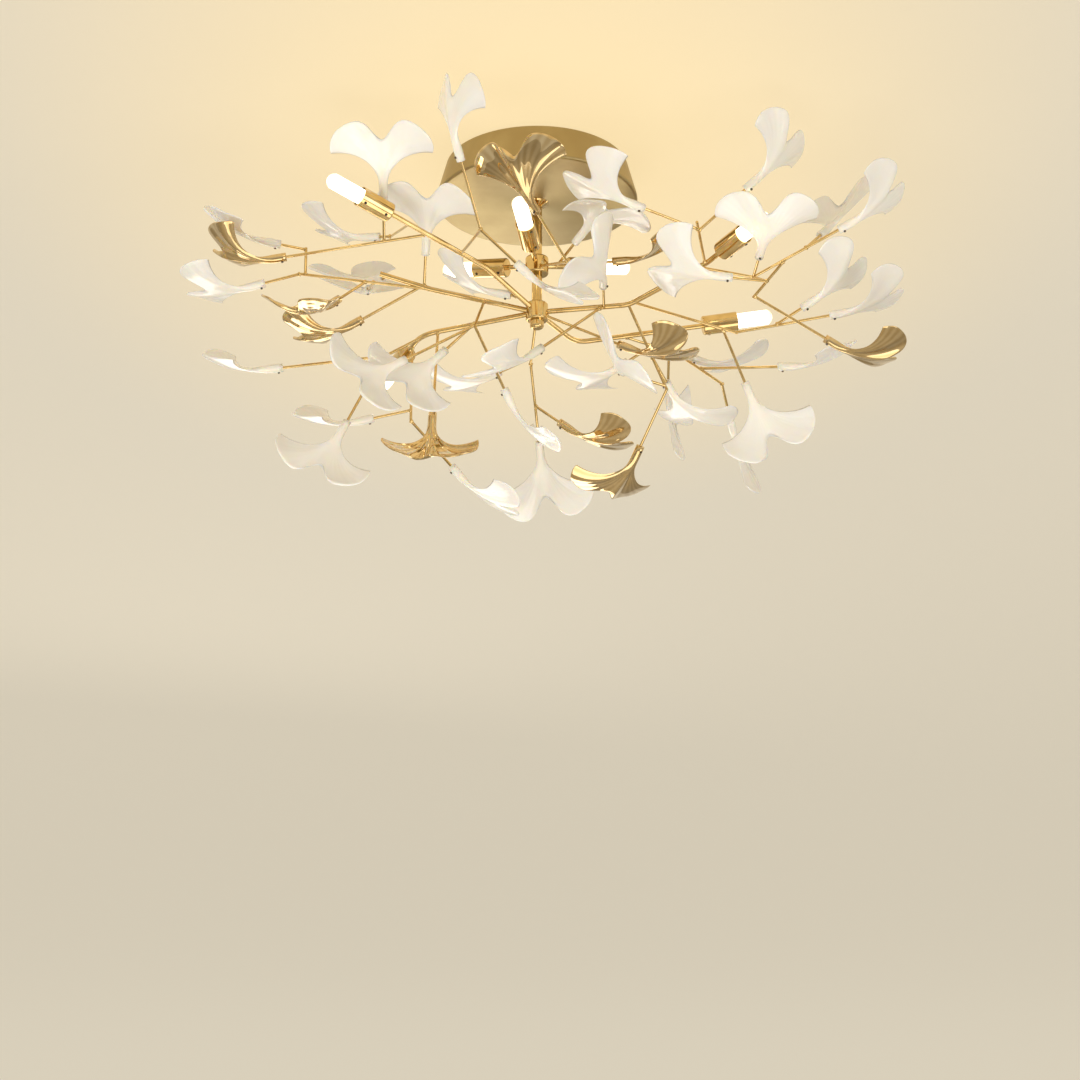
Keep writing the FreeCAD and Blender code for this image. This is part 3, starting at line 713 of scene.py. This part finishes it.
def islands(points: np.ndarray, triangles: np.ndarray) -> list[np.ndarray]:
    """Triangles of each separate solid: the lowest point number spreads over all that touches it.

    Args:
        points: welded points.
        triangles: point numbers.

    Returns:
        One array of triangles for each solid.
    """
    label = np.arange(len(points))
    settled = False
    while not settled:
        spread = label.copy()
        np.minimum.at(spread, triangles.ravel(), np.repeat(label[triangles].min(axis=1), 3))
        spread = spread[spread]
        settled = bool((spread == label).all())
        label = spread
    owner = label[triangles[:, 0]]
    return [triangles[owner == name] for name in np.unique(owner)]


@dataclass
class LeafSpray:
    """The leaves of one node: each takes the place of a solid there."""

    node: str
    leaf: Leaf
    slot: str
    material: bpy.types.Material
    flats_tried: int = 40
    flat_slack: float = 0.2
    facing_bins: float = 200.0
    offset_bin: float = 0.05

    def seat(self, points: np.ndarray, triangles: np.ndarray) -> tuple[np.ndarray, np.ndarray]:
        """Where a leaf's solid sits.

        The flat end of its stalk is the widest flat with all of the leaf on one side, and faces back
        along X; Z is the side of that axis on which most of the leaf lies.

        Args:
            points: the node's points.
            triangles: the solid's triangles.

        Returns:
            Its origin, and rows X, Y and Z.
        """
        a, b, c = (points[triangles[:, k]] for k in range(3))
        cross = np.cross(b - a, c - a)
        area, middle = 0.5 * np.linalg.norm(cross, axis=1), (a + b + c) / 3.0
        facing = unit(cross)
        offset = np.sum(facing * a, axis=1, keepdims=True)
        keys = np.concatenate([facing * self.facing_bins, offset / (self.offset_bin * MM)], axis=1)
        _, flat = np.unique(np.round(keys).astype(np.int64), axis=0, return_inverse=True)
        flat = flat.reshape(-1)
        for widest in np.argsort(-np.bincount(flat, weights=area))[:self.flats_tried]:
            chosen = flat == widest
            weight = area[chosen][:, None] / area[chosen].sum()
            origin = np.sum(middle[chosen] * weight, axis=0)
            x = -unit(np.sum(facing[chosen] * weight, axis=0))
            if ((middle - origin) @ x).min() > -self.flat_slack * MM:
                break
        lean = np.sum(middle * area[:, None], axis=0) / area.sum() - origin
        z = unit(lean - x * np.dot(lean, x))
        return origin, np.stack([x, np.cross(z, x), z])

    def build(self, node: bpy.types.Object) -> bpy.types.Object:
        """Makes the node's leaves as one piece.

        Args:
            node: the frame's node.

        Returns:
            The piece that replaces it.
        """
        points, triangles = node_mesh(node)
        local, uv, faces = self.leaf.surface().arrays()
        places, uvs, corners = [], [], []
        for number, solid in enumerate(islands(points, triangles)):
            origin, axes = self.seat(points, solid)
            places.append(origin + (local * MM) @ axes)
            uvs.append(uv)
            corners.append(faces + number * len(local))
        name = self.node.replace("leaves", "ginkgo_leaves")
        piece = make_piece(name, np.concatenate(places), np.concatenate(uvs), np.concatenate(corners),
                           self.material)
        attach(piece, FIXTURE)
        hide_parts(self.node)
        LOG.info("%s: %d leaves", name, len(places))
        return piece


def turned(profile: np.ndarray, segments: int, seats: list[tuple[np.ndarray, np.ndarray]]
           ) -> tuple[np.ndarray, np.ndarray, np.ndarray]:
    """One turned form repeated at several seats.

    Args:
        profile: x and radius in millimetres, from axis to axis.
        segments: sides of the turned form.
        seats: origin in metres and axis of each.

    Returns:
        Points, uvs and triangles of all of them.
    """
    form = Surface()
    form.lathe(profile, segments)
    local, uv, faces = form.arrays()
    places = []
    for origin, axis in seats:
        x = unit(axis)
        side = unit(np.cross(x, np.eye(3)[np.argmin(np.abs(x))]))
        places.append(origin + (local * MM) @ np.stack([x, side, np.cross(x, side)]))
    corners = [faces + k * len(local) for k in range(len(seats))]
    return np.concatenate(places), np.concatenate([uv] * len(seats)), np.concatenate(corners)


@dataclass
class BrazedTwigs:
    """Braze beads round the roots of one node's twigs, in millimetres."""

    node: str
    material: bpy.types.Material
    twig_r: float = 1.5
    bead_r: float = 2.5
    bead_length: float = 3.0
    depth: float = 1.0
    hollow: float = 2.2
    skin: float = 0.02
    straight_slack: float = 1.4
    stations: int = 8
    sides: int = 18

    def profile(self) -> np.ndarray:
        """Bead: a flare that falls away from the parent as a hollow fillet.

        Returns:
            x and radius.
        """
        run = np.linspace(0.0, 1.0, self.stations)
        flare = self.twig_r + (self.bead_r - self.twig_r) * (1.0 - run) ** self.hollow
        x = np.concatenate([[-self.depth, -self.depth], run * self.bead_length, [self.bead_length]])
        r = np.concatenate([[0.0, self.bead_r], flare + self.skin, [0.0]])
        return np.stack([x, r], -1)

    def root(self, points: np.ndarray) -> tuple[np.ndarray, np.ndarray] | None:
        """Root of a straight twig: the end whose ring is coped over its parent, not cut square.

        Args:
            points: the twig's points.

        Returns:
            Its root and its axis away from it, or nothing for a bent tube.
        """
        middle = points.mean(axis=0)
        axis = np.linalg.svd(points - middle, full_matrices=False)[2][0]
        along = (points - middle) @ axis
        aside = np.linalg.norm(points - middle - along[:, None] * axis, axis=1)
        if aside.max() > self.straight_slack * self.twig_r * MM:
            return None
        half = 0.5 * (along.max() + along.min())
        low, high = along[along < half], along[along >= half]
        if np.ptp(low) < np.ptp(high):
            return middle + axis * 0.5 * (high.min() + high.max()), -axis
        return middle + axis * 0.5 * (low.min() + low.max()), axis

    def build(self, node: bpy.types.Object) -> bpy.types.Object | None:
        """Makes the beads of the node's twigs as one piece.

        Args:
            node: the frame's node.

        Returns:
            The piece, or nothing where no twig is straight.
        """
        points, triangles = node_mesh(node)
        roots = [self.root(points[np.unique(solid)]) for solid in islands(points, triangles)]
        seats = [seat for seat in roots if seat is not None]
        if not seats:
            return None
        piece = make_piece(f"{self.node}_braze", *turned(self.profile(), self.sides, seats),
                           self.material)
        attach(piece, FIXTURE)
        LOG.info("%s: %d beads", piece.name, len(seats))
        return piece


@dataclass
class CapsuleLamp:
    """One two-pin capsule lamp, in millimetres along its axis from the cup's base."""

    number: int
    glass: bpy.types.Material
    ceramic: bpy.types.Material
    steel: bpy.types.Material
    base_from: float = 19.4
    base_r: float = 7.0
    base_length: float = 6.0
    glass_r: float = 8.0
    glass_length: float = 52.0
    dome: float = 6.0
    pinch: float = 4.0
    pinch_depth: float = 1.0
    foot_overlap: float = 0.2
    pin_r: float = 0.7
    pin_length: float = 10.0
    pin_spacing: float = 9.0
    pin_overlap: float = 0.4
    cup_r: float = 10.5
    screw_places: tuple = (33.0, 7.0)
    screw_side: tuple = (0.6, -0.8)
    screw_sides: int = 16
    sides: int = 40
    pin_sides: int = 16
    foot_rows: int = 7
    barrel_rows: int = 9
    tip_rows: int = 13
    pin_rows: int = 5
    pieces: list = field(default_factory=list)

    def frame(self, node: bpy.types.Object, axis: np.ndarray) -> tuple[np.ndarray, np.ndarray]:
        """Where the lamp sits.

        Args:
            node: the lamp's node.
            axis: the way it pulls out.

        Returns:
            Origin on the axis at the pin ends, and rows X, Y and Z, with Z nearest to up.
        """
        points, _ = node_mesh(node)
        x = unit(axis)
        z = unit(np.array([0.0, 0.0, 1.0]) - x * x[2])
        axes = np.stack([x, np.cross(z, x), z])
        local = points @ axes.T
        low, high = local.min(axis=0), local.max(axis=0)
        return np.array([low[0], *(0.5 * (low + high)[1:])]) @ axes, axes

    def glass_profile(self) -> np.ndarray:
        """Capsule: a pinched foot, a straight barrel and a domed tip.

        Returns:
            x and radius.
        """
        start, end = self.base_length - self.foot_overlap, self.base_length + self.glass_length
        foot = np.linspace(0.0, 0.5 * np.pi, self.foot_rows)
        tip = np.linspace(0.0, 0.5 * np.pi, self.tip_rows)
        barrel = np.linspace(start + self.pinch, end - self.dome, self.barrel_rows)[1:-1]
        x = np.concatenate([[start], start + self.pinch * (1.0 - np.cos(foot)), barrel,
                            end - self.dome * (1.0 - np.sin(tip))])
        neck_r = self.base_r - self.pinch_depth
        neck = neck_r + (self.glass_r - neck_r) * np.sin(foot)
        r = np.concatenate([[0.0], neck, np.full(len(barrel), self.glass_r), self.glass_r * np.cos(tip)])
        return np.stack([x, r], -1)

    def base_profile(self) -> np.ndarray:
        """Ceramic foot with a waist groove and eased edges.

        Returns:
            x and radius.
        """
        x = np.array([0.0, 0.0, 0.5, 2.4, 2.8, 3.4, 3.8, 5.5, 6.0, 6.0])
        r = np.array([0.0, 6.5, 7.0, 7.0, 6.5, 6.5, 7.0, 7.0, 6.5, 0.0]) * (self.base_r / 7.0)
        return np.stack([x * (self.base_length / 6.0), r], -1)

    def pin_profile(self) -> np.ndarray:
        """Pin with a rounded tip.

        Returns:
            x and radius.
        """
        turn = np.linspace(0.0, 0.5 * np.pi, self.pin_rows)
        x = np.concatenate([-self.pin_length + self.pin_r * (1.0 - np.cos(turn)), [self.pin_overlap] * 2])
        r = np.concatenate([self.pin_r * np.sin(turn), [self.pin_r, 0.0]])
        return np.stack([x, r], -1)

    def build(self, node: bpy.types.Object, axis: np.ndarray) -> None:
        """Makes the glass, the foot and the pins, which move with the lamp's body.

        Args:
            node: the lamp's node.
            axis: the way it pulls out.
        """
        origin, axes = self.frame(node, axis)
        foot = np.array([self.pin_length, 0.0, 0.0])
        parts = (("glass", self.glass_profile(), self.sides, (0.0,), self.glass, "lamp_glass"),
                 ("foot", self.base_profile(), self.sides, (0.0,), self.ceramic, "holder_ceramic"),
                 ("pins", self.pin_profile(), self.pin_sides, (-0.5, 0.5), self.steel, "zinc_steel"))
        for part, profile, segments, sides, material, slot in parts:
            form = Surface()
            form.lathe(profile, segments)
            local, uv, faces = form.arrays()
            places = [local + foot + np.array([0.0, s * self.pin_spacing, 0.0]) for s in sides]
            corners = [faces + k * len(local) for k in range(len(sides))]
            piece = make_piece(f"capsule_{part}_{self.number}", origin + (np.concatenate(places) * MM) @ axes,
                               np.concatenate([uv] * len(sides)), np.concatenate(corners), material)
            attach(piece, f"lamp_{self.number}")
            self.pieces.append(piece)
            LOG.info("%s: %d faces", piece.name, len(faces) * len(sides))
        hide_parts(f"lamp_{self.number}")

    def cup_screw(self, node: bpy.types.Object, axis: np.ndarray, material: bpy.types.Material) -> None:
        """Makes the two socket screws in the lamp's cup, one by its lip and one by its foot.

        Args:
            node: the lamp's node.
            axis: the way it pulls out.
            material: the screws' finish.
        """
        origin, axes = self.frame(node, axis)
        start = self.base_from - self.pin_length
        out = axes[1] * self.screw_side[0] + axes[2] * self.screw_side[1]
        x = [-0.6, -0.6, 0.4, 0.7, 0.7, 0.1, 0.1]
        r = [0.0, 1.5, 1.5, 1.2, 0.8, 0.7, 0.0]
        seats = [(origin + ((along - start) * axes[0] + self.cup_r * out) * MM, out)
                 for along in self.screw_places]
        made = turned(np.stack([x, r], -1), self.screw_sides, seats)
        piece = make_piece(f"cup_screws_{self.number}", *made, material)
        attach(piece, FIXTURE)
        LOG.info("%s: %d screws", piece.name, len(seats))


@dataclass
class Fixture:
    """The fixture's carried-over solids and their finishes."""

    gilt: bpy.types.Material
    pan: bpy.types.Material
    ceramic: bpy.types.Material
    steel: bpy.types.Material
    dark: bpy.types.Material
    plastic: bpy.types.Material

    def finish_of(self, node: str) -> bpy.types.Material:
        """Finish of a node by what it is.

        Args:
            node: its name.

        Returns:
            The finish.
        """
        if node == "pan":
            return self.pan
        if node.startswith("lamp_holder"):
            return self.ceramic
        if node in ("ceiling_bracket", "stem_nut", "earth_screw"):
            return self.steel
        if node in ("leaf_grub_screws", "pan_side_screws"):
            return self.dark
        if node == "terminal_block":
            return self.plastic
        return self.gilt

    def dress(self, nodes: dict) -> None:
        """Puts the finishes on the nodes that stay.

        Args:
            nodes: objects by name.
        """
        for name, node in nodes.items():
            material = self.finish_of(name)
            for slot in node.material_slots:
                slot.material = material
            if not node.material_slots:
                node.data.materials.append(material)
            LOG.info("%s: %s", name, material.name)


@dataclass
class Studio:
    """Ceiling that the light hangs from, pale floor, soft lights and the camera, in metres."""

    ceiling_gap: float = 0.0015
    ceiling_half: float = 16.0
    floor_drop: float = 1.75
    floor_half: float = 6.0
    ceiling_glow: float = 0.82
    ceiling_paint: tuple = (0.80, 0.74, 0.62, 1.0)
    # painted light: warm ceiling colour next to the fixture, a painted pool of light
    painted_glow_near: tuple = (1.08, 0.85, 0.48)
    ceiling_far: tuple = (0.75, 0.68, 0.54)
    painted_glow_from: float = 0.05
    painted_glow_to: float = 0.72
    painted_glow_depth: float = 0.35
    floor_glow: float = 0.3
    floor_tints: tuple = ((0.74, 0.70, 0.62), (0.70, 0.66, 0.58))
    floor_grain: float = 3.0
    room: tuple = (0.78, 0.74, 0.66, 1.0)
    room_strength: float = 0.75
    aim: tuple = (0.0, 0.0, -0.18)
    camera_at: tuple = (0.0033, -2.406, -1.246)
    camera_tilt: float = 108.8
    camera_angle: float = 24.8

    def plane(self, name: str, half: float, height: float, facing_down: bool,
              material: bpy.types.Material) -> bpy.types.Object:
        """Square plane of the stage.

        Args:
            name: the plane's name.
            half: half its side.
            height: its z.
            facing_down: turns its front down.
            material: its finish.

        Returns:
            The plane.
        """
        side = np.array([-half, half])
        x, y = np.meshgrid(side, side, indexing="ij")
        form = Surface()
        grid = np.stack([x, y, np.full((2, 2), height)], -1)
        form.grid(grid / MM, np.stack([x, y], -1), flip=facing_down)
        points, uv, faces = form.arrays()
        piece = make_piece(name, points * MM, uv, faces, material)
        return piece

    def ceiling_material(self) -> bpy.types.Material:
        """Cream ceiling with a painted pool of warm light round the fixture, seen through from above.

        Returns:
            The material.
        """
        material, sheet = new_sheet("stage_ceiling")
        parts = sheet.node("ShaderNodeSeparateXYZ", {}, {0: sheet.place()})
        x, y = Wire(sheet, parts.outputs[0]), Wire(sheet, parts.outputs[1])
        away = (x * x + y * y * self.painted_glow_depth) ** 0.5
        # painted light: the ceiling's colour is painted warmer and brighter near the fixture, a pool of light
        # painted round it instead of cast by the lamps
        tint = sheet.mix(away.within(self.painted_glow_from, self.painted_glow_to), self.painted_glow_near, self.ceiling_far)
        shade = sheet.node("ShaderNodeBsdfDiffuse", {}, {"Color": self.ceiling_paint})
        glow = sheet.node("ShaderNodeEmission", {}, {"Color": tint})
        share = self.seen(sheet) * self.ceiling_glow
        front = sheet.node("ShaderNodeMixShader", {}, {0: share, 1: shade.outputs[0], 2: glow.outputs[0]})
        self.one_sided(sheet, front)
        return material

    def seen(self, sheet: Sheet) -> Wire:
        """Tells what is seen from what lights the object.

        Args:
            sheet: the material's sheet.

        Returns:
            1 where the camera sees it, by itself or in metal and glass, and 0 for light on the object.
        """
        path = sheet.node("ShaderNodeLightPath", {}, {})
        camera, glossy, through = (Wire(sheet, path.outputs[f"Is {kind} Ray"])
                                   for kind in ("Camera", "Glossy", "Transmission"))
        return camera + glossy + through

    def one_sided(self, sheet: Sheet, front: bpy.types.ShaderNode) -> None:
        """Ends a stage material: its front as given, clear from behind.

        Args:
            sheet: the material's sheet.
            front: the shader of its front.
        """
        clear = sheet.node("ShaderNodeBsdfTransparent", {}, {})
        behind = sheet.node("ShaderNodeNewGeometry", {}, {})
        both = sheet.node("ShaderNodeMixShader", {}, {0: behind.outputs["Backfacing"], 1: front.outputs[0],
                                                      2: clear.outputs[0]})
        sheet.node("ShaderNodeOutputMaterial", {}, {"Surface": both.outputs[0]})

    def floor_material(self) -> bpy.types.Material:
        """Plain pale floor, seen through from below.

        Returns:
            The material.
        """
        material, sheet = new_sheet("stage_floor")
        grain = sheet.noise(sheet.place(), self.floor_grain)
        tint = sheet.mix(grain, *self.floor_tints)
        shade = sheet.node("ShaderNodeBsdfDiffuse", {}, {"Color": tint})
        glow = sheet.node("ShaderNodeEmission", {}, {"Color": tint})
        share = self.seen(sheet) * self.floor_glow
        front = sheet.node("ShaderNodeMixShader", {}, {0: share, 1: shade.outputs[0], 2: glow.outputs[0]})
        self.one_sided(sheet, front)
        return material

    def world(self) -> None:
        """Soft room round the object, plain and pale."""
        world = bpy.data.worlds.new("soft_room")
        world.use_nodes = True
        bpy.context.scene.world = world
        sheet = Sheet(world.node_tree)
        back = sheet.node("ShaderNodeBackground", {}, {"Color": self.room, "Strength": self.room_strength})
        sheet.node("ShaderNodeOutputWorld", {}, {"Surface": back.outputs[0]})

    def lamp(self, name: str, at: tuple, size: float, power: float, colour: tuple,
             mirrored: bool = True) -> None:
        """Soft square light that looks at the leaves.

        Args:
            name: the light's name.
            at: its place.
            size: its side.
            power: watts.
            colour: its tint.
            mirrored: whether polished metal shows it.
        """
        data = bpy.data.lights.new(name, "AREA")
        data.size, data.energy, data.color = size, power, colour
        light = bpy.data.objects.new(name, data)
        back = unit(np.array(at) - np.array(self.aim))
        turn = math.atan2(back[0], -back[1])
        light.location = at
        light.rotation_euler = (math.acos(back[2]), 0.0, turn)
        light.visible_glossy = mirrored
        bpy.context.scene.collection.objects.link(light)

    def camera(self) -> None:
        """Camera at the photograph's angle."""
        data = bpy.data.cameras.new("photo_view")
        data.angle = math.radians(self.camera_angle)
        camera = bpy.data.objects.new("photo_view", data)
        camera.location = self.camera_at
        camera.rotation_euler = (math.radians(self.camera_tilt), 0.0, 0.0)
        bpy.context.scene.collection.objects.link(camera)
        bpy.context.scene.camera = camera

    def build(self) -> None:
        """Sets the stage."""
        bpy.context.scene.view_settings.view_transform = "Standard"
        self.plane("stage_ceiling", self.ceiling_half, self.ceiling_gap, True, self.ceiling_material())
        self.plane("stage_floor", self.floor_half, -self.floor_drop, False, self.floor_material())
        self.world()
        self.lamp("key", (-1.3, -1.9, -1.2), 1.3, 24.0, (1.0, 0.98, 0.96), mirrored=False)
        self.lamp("fill", (1.7, -1.0, -1.0), 1.2, 10.0, (1.0, 0.97, 0.93))
        self.lamp("rear", (-0.6, 1.8, -1.1), 1.2, 12.0, (1.0, 0.94, 0.84))
        self.lamp("under", (0.1, -0.5, -1.6), 1.4, 9.0, (1.0, 0.95, 0.86))
        self.camera()


def main() -> None:
    """Builds the sub-assemblies in order."""
    logging.basicConfig(level=logging.INFO, format="%(message)s")
    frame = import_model()
    nodes = frame["nodes"]
    ceramic, steel, dark = (kind.material() for kind in (Plain.CERAMIC, Plain.ZINC, Plain.DARK_SCREW))
    gilt = PolishedGilt().material()
    Fixture(gilt, SatinPan().material(), ceramic, steel, dark, Plain.PLASTIC.material()).dress(nodes)
    for name in sorted(nodes):
        if name.endswith("_arm") or name == "centre_twigs":
            BrazedTwigs(name, gilt).build(nodes[name])
    porcelain, casting = Porcelain().material(), GiltCasting().material()
    for name in sorted(nodes):
        if name.startswith("white_leaves"):
            LeafSpray(name, WHITE_LEAF, "white_porcelain", porcelain).build(nodes[name])
        elif name.startswith("gold_leaves"):
            LeafSpray(name, GOLD_LEAF, "gilt_leaf", casting).build(nodes[name])
    glass = LitGlass().material()
    axes = {joint["child"]: np.array(joint["axis"], dtype=float) for joint in frame["joints"]}
    for number in range(1, LAMP_COUNT + 1):
        body = f"lamp_{number}"
        lamp = CapsuleLamp(number, glass, ceramic, steel)
        lamp.build(nodes[body], axes[body])
        lamp.cup_screw(nodes[body], axes[body], dark)
    Studio().build()


if __name__ == "__main__":
    main()
